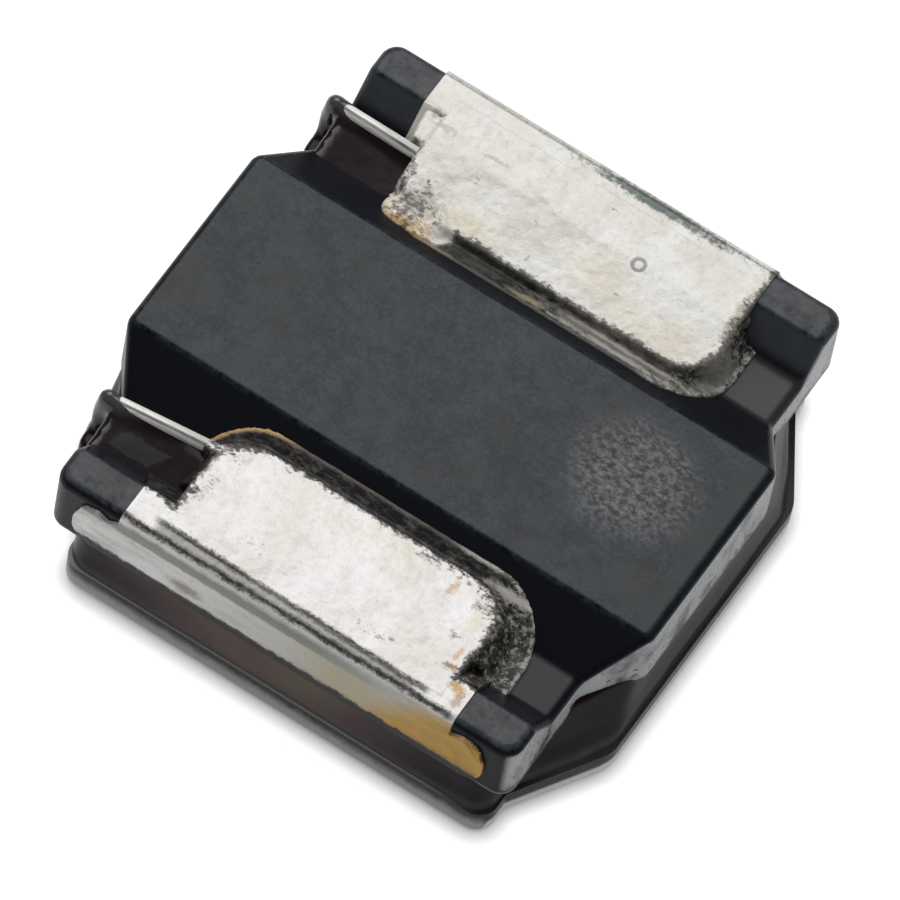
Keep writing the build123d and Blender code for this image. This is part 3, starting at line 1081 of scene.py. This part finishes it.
@dataclass
class SolderFill:
    """Solder that fills one groove, with a thin sheet of residue on the ridge's slope round it.

    Attributes:
        side: the terminal.
        left: least X of the fill.
        right: greatest X of the fill.
        inner: the fill's distance from the middle line.
        outer: how far out it reaches over the rim.
        border: the outline of the residue.
        tip: middle and radii of a swelling at the fill's inner left corner.
        wick: where the solder runs back along the lead from and to.
        spread: how much further left it reaches beside the rim.
        middle: the distance from the middle line at which it is level with the rim.
        lean: how much further its ends reach at the groove's floor.
        top: height of the fill at its inner edge.
        crown: height at the rim.
        residue: thickness of the sheet on the slope.
        voxel: how finely the parts are melted together.
    """

    side: Side
    left: float
    right: float
    inner: float
    outer: float
    border: Patch
    tip: tuple[Point, Point]
    wick: tuple[Point, Point]
    spread: float = 0.0
    middle: float = 1.50
    lean: float = 0.12
    top: float = 1.098
    crown: float = 1.1705
    residue: float = 0.014
    voxel: float = 0.016

    def box(self, bench: Bench, x: Pair, away: Pair, z: Pair) -> None:
        """Adds a box given by its reach along X, from the middle line and in height."""
        sign = self.side.value
        low, high = sorted((away[0] * sign, away[1] * sign))
        bench.block((x[0], low, z[0]), (x[1], high, z[1]))

    def round_ends(self, bench: Bench, area: Patch, left: tuple[float, int],
                   right: tuple[float, int]) -> None:
        """Rounds the two upright edges of a box on its side towards the ridge.

        Args:
            bench: where the box is.
            area: the box in plan.
            left: radius and steps at its left end.
            right: the same at its right end.
        """
        bench.round_off(lambda c: c.x > area.right - NEAR and abs(c.y) < area.inner + NEAR, *right)
        bench.round_off(lambda c: c.x < area.left + NEAR and abs(c.y) < area.inner + NEAR, *left)

    def build(self, node: Object, material: Material) -> Object:
        """Makes the fill in place of the CAD solder, with the terminal's tin."""
        bench = Bench(f"fill_{self.side.label}")
        foot = GROOVE_FLOOR + 0.015
        self.box(bench, (self.left, self.right), (self.inner, self.middle), (foot, self.top))
        bench.move(lambda c: abs(c.y) > self.middle - NEAR and c.z > foot + NEAR,
                   (0, 0, self.crown - self.top))
        bench.move(lambda c: c.x > self.right - NEAR and c.z < foot + NEAR, (self.lean, 0, 0))
        bench.move(lambda c: c.x < self.left + NEAR and c.z < foot + NEAR, (-self.lean, 0, 0))
        area = Patch(self.left, self.right, self.inner, self.middle, 0.0)
        self.round_ends(bench, area, (0.22, 8), (0.26, 10))
        self.box(bench, (self.left, self.right), (self.middle - 0.02, self.outer), (1.05, self.crown))
        if self.spread:
            self.box(bench, (self.left - self.spread, 0.0), (self.middle - 0.06, self.outer),
                     (0.99, self.crown - 0.012))
            bench.move(lambda c: c.x < self.left - NEAR and abs(c.y) < self.middle, (0.06, 0, -0.02))
        bench.bead(*self.tip)
        bench.spigot(*self.wick, (0.044, 0.060))
        bench.join(self.sheet())
        bench.apply("REMESH", mode="VOXEL", voxel_size=self.voxel)
        bench.apply("SMOOTH", factor=0.5, iterations=5)
        bench.roughen(0.25, 0.012)
        bench.roughen(0.06, 0.007)
        return bench.hand_over(material, "solder", node.name)

    def sheet(self) -> Object:
        """Makes the sheet of residue, from the ridge's slope down to the groove's floor."""
        border = self.border
        outline = Bench("outline")
        self.box(outline, (border.left, border.right), (border.inner, 2.0), (0.80, 1.30))
        self.round_ends(outline, border, (border.corner, 12), (border.corner, 12))
        sheet = Bench(f"residue_{self.side.label}")
        level = GROOVE_FLOOR + 0.030
        rise = slope_height(border.inner) + self.residue - level
        self.box(sheet, (border.left, border.right), (border.inner, 1.16), (0.86, level))
        sheet.move(lambda c: abs(c.y) < border.inner + NEAR and c.z > level - NEAR / 2, (0, 0, rise))
        self.box(sheet, (0.9, border.right), (1.10, 1.56), (0.88, level))
        sheet.apply("BOOLEAN", operation="INTERSECT", object=outline.piece, use_self=True)
        bpy.data.objects.remove(outline.piece)
        return sheet.piece


def slope_height(away: float) -> float:
    """Height of the ridge's slope at a distance from the middle line."""
    share = (away - RIDGE_EDGE) / (FLOOR_EDGE - RIDGE_EDGE)
    return BOARD_TOP - (BOARD_TOP - GROOVE_FLOOR) * share


@dataclass
class Film:
    """Metal film of one terminal on the rim and its outer wall, a little thinner on the rim than in CAD.

    Attributes:
        side: the terminal.
        start: how much later than in CAD it starts on the rim.
        end: how much sooner it ends there.
        shoulder: how much higher its two long ends reach on the outer wall.
        inner: the distance from the middle line up to which the residue covers it.
        thinner: how much lower its face on the rim is.
    """

    side: Side
    start: float = 0.0
    end: float = 0.0
    shoulder: float = 0.0
    inner: float = 1.45
    thinner: float = 0.013

    def build(self, node: Object, material: Material) -> Object:
        """Makes the film from the CAD terminal, with the terminal's tin."""
        sign = self.side.value
        bench = Bench(f"film_{self.side.label}").copy_of(node)
        bench.trim((0, sign * self.inner, 0), (0, -sign, 0))
        bench.move(lambda c: c.z > BOARD_TOP + 0.017, (0, 0, -self.thinner))
        bench.move(lambda c: c.x < -1.2 and c.z > 1.085, (self.start, 0, 0))
        bench.move(lambda c: c.x > 1.2 and c.z > 1.085, (-self.end, 0, 0))
        bench.move(lambda c: not -1.31 < c.x < 1.28 and c.z > 0.96, (0, 0, self.shoulder))
        return bench.hand_over(material, "metal_film", node.name, crease=30.0)


TERMINALS = (
    (FRONT_TIN, Film(side=Side.FRONT, start=0.08, shoulder=0.045),
     SolderFill(side=Side.FRONT, left=-1.00, right=1.13, inner=0.985, outer=1.875, border=FRONT_TIN.border,
                tip=((-0.80, -1.15, 1.075), (0.16, 0.11, 0.045)),
                wick=((-1.14, -1.190, 1.062), (-0.80, -1.15, 1.075)))),
    (BACK_TIN, Film(side=Side.BACK, end=0.06),
     SolderFill(side=Side.BACK, left=-1.13, right=1.215, inner=1.010, outer=1.835, border=BACK_TIN.border,
                tip=((-0.92, 0.98, 1.040), (0.23, 0.13, 0.060)),
                wick=((-1.16, 1.375, 1.070), (-0.85, 1.35, 1.100)), spread=0.165)))


# ---- studio ---------------------------------------------------------------------------------
@dataclass
class Studio:
    """Pale floor, soft light and the camera.

    Attributes:
        azimuth: the camera's direction round the part, in degrees from -Y towards +X.
        elevation: its height in degrees.
        roll: how far it is turned about its own axis, in degrees.
        distance: from the aim point, in millimetres.
        aim: the point that it looks at, in millimetres, before it is moved sideways.
        offset: how far it is moved to its right and up, in millimetres.
        view_width: what it sees across at the aim point, in millimetres.
        contact: how near the part the floor's white grows dark, in millimetres.
        lamp_direction: where the square lamp stands, seen from the part.
        lamp_distance: from the part, in millimetres.
        lamp_side: length of its sides, in millimetres.
        radiance: how bright its face is, where 1 is white.
    """

    azimuth: float = 22.564
    elevation: float = 60.687
    roll: float = 11.66
    distance: float = 106.4
    aim: Point = (0.0, 0.0, 0.8)
    offset: Pair = (0.018, -0.182)
    view_width: float = 5.704
    contact: float = 0.11
    lamp_direction: Point = (-0.35, 0.45, 0.82)
    lamp_distance: float = 60.0
    lamp_side: float = 56.0
    radiance: float = 2.75

    def camera(self) -> Object:
        """Adds the camera and makes it the scene's own."""
        turn = math.radians(self.azimuth)
        rise = math.radians(self.elevation)
        tilt = math.radians(self.roll)
        back = Vector((math.sin(turn) * math.cos(rise), -math.cos(turn) * math.cos(rise), math.sin(rise)))
        level = Vector((math.cos(turn), math.sin(turn), 0.0))
        upright = back.cross(level)
        right = math.cos(tilt) * level + math.sin(tilt) * upright
        up = math.cos(tilt) * upright - math.sin(tilt) * level
        lens = bpy.data.cameras.new("camera")
        lens.sensor_width = 36.0
        lens.lens = lens.sensor_width * self.distance / self.view_width
        lens.clip_start = 1.0 * MM
        lens.clip_end = 10.0
        camera = bpy.data.objects.new("camera", lens)
        bpy.context.scene.collection.objects.link(camera)
        place = (Vector(self.aim) + back * self.distance + right * self.offset[0] + up * self.offset[1]) * MM
        turned = Matrix((right, up, back)).transposed().to_4x4()
        camera.matrix_world = Matrix.Translation(place) @ turned
        bpy.context.scene.camera = camera
        return camera

    def floor(self) -> Object:
        """Adds the floor, which looks white where it is lit and keeps the part's shadow."""
        Bench.clear()
        bpy.ops.mesh.primitive_plane_add(size=2.0, location=(0, 0, 0))
        floor = bpy.context.object
        floor.name = "floor"
        g = Graph(bpy.data.materials.new("floor"))
        matt = g.node("ShaderNodeBsdfDiffuse", {}, {"Color": (0.85, 0.85, 0.85)})
        rays = g.node("ShaderNodeLightPath")
        nearby = g.node("ShaderNodeAmbientOcclusion", {"samples": 8}, {"Distance": self.contact * MM})
        open_sky = Field(g, nearby.outputs["AO"]) ** 1.2
        glow = g.node("ShaderNodeEmission", {}, {"Color": (1.0, 1.0, 1.0), "Strength": open_sky * 1.45})
        mirrored = Field(g, rays.outputs["Is Glossy Ray"]).most(Field(g, rays.outputs["Is Transmission Ray"]))
        share = Field(g, rays.outputs["Is Camera Ray"]) * 0.62 + mirrored * 0.09
        blend = g.node("ShaderNodeMixShader", {}, {0: share, 1: matt.outputs[0], 2: glow.outputs[0]})
        g.node("ShaderNodeOutputMaterial", {}, {"Surface": blend.outputs[0]})
        floor.data.materials.append(g.owner)
        return floor

    def world(self) -> None:
        """Sets the surroundings: white to the eye, grey as light, dark overhead as a mirror image."""
        world = bpy.data.worlds.new("studio")
        bpy.context.scene.world = world
        g = Graph(world, "Generated", 1.0)
        rays = g.node("ShaderNodeLightPath")
        seen = Field(g, rays.outputs["Is Camera Ray"])
        mirrored = Field(g, rays.outputs["Is Glossy Ray"])
        low = g.z.step(0.45, 0.0)
        mirror = 0.03 + 0.08 * low
        strength = seen + (1.0 - seen) * (mirrored * mirror + (1.0 - mirrored) * 0.42)
        ground = g.node("ShaderNodeBackground", {}, {"Color": (1.0, 1.0, 1.0), "Strength": strength})
        g.node("ShaderNodeOutputWorld", {}, {"Surface": ground.outputs[0]})

    def lamp(self) -> Object:
        """Adds the square lamp, which faces the part."""
        light = bpy.data.lights.new("key_lamp", "AREA")
        light.shape = "SQUARE"
        light.size = self.lamp_side * MM
        light.energy = self.radiance * math.pi * (self.lamp_side * MM) ** 2
        lamp = bpy.data.objects.new("key_lamp", light)
        bpy.context.scene.collection.objects.link(lamp)
        away = Vector(self.lamp_direction).normalized()
        lamp.location = away * self.lamp_distance * MM
        lamp.rotation_euler = away.to_track_quat("Z", "Y").to_euler()
        return lamp

    def build(self) -> None:
        """Adds everything round the part."""
        bpy.context.scene.view_settings.view_transform = "Standard"
        self.camera()
        self.floor()
        self.world()
        self.lamp()


def dress(piece: Object, material: Material) -> None:
    """Puts one material in all of a piece's slots."""
    if not piece.material_slots:
        piece.data.materials.append(material)
    for place in piece.material_slots:
        place.material = material


def main() -> None:
    """Builds the looks."""
    logging.basicConfig(level=logging.INFO, format="%(message)s")
    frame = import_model()
    Studio().build()
    nodes = frame["nodes"]
    dress(nodes["drum_core"], Ferrite().material())
    Leads().build(nodes["winding"])
    Overcoat().build(nodes["overcoat"])
    for tin, film, fill in TERMINALS:
        material = tin.material()
        film.build(nodes[f"terminal_{tin.side.label}"], material)
        fill.build(nodes[f"solder_{tin.side.label}"], material)


if __name__ == "__main__":
    main()
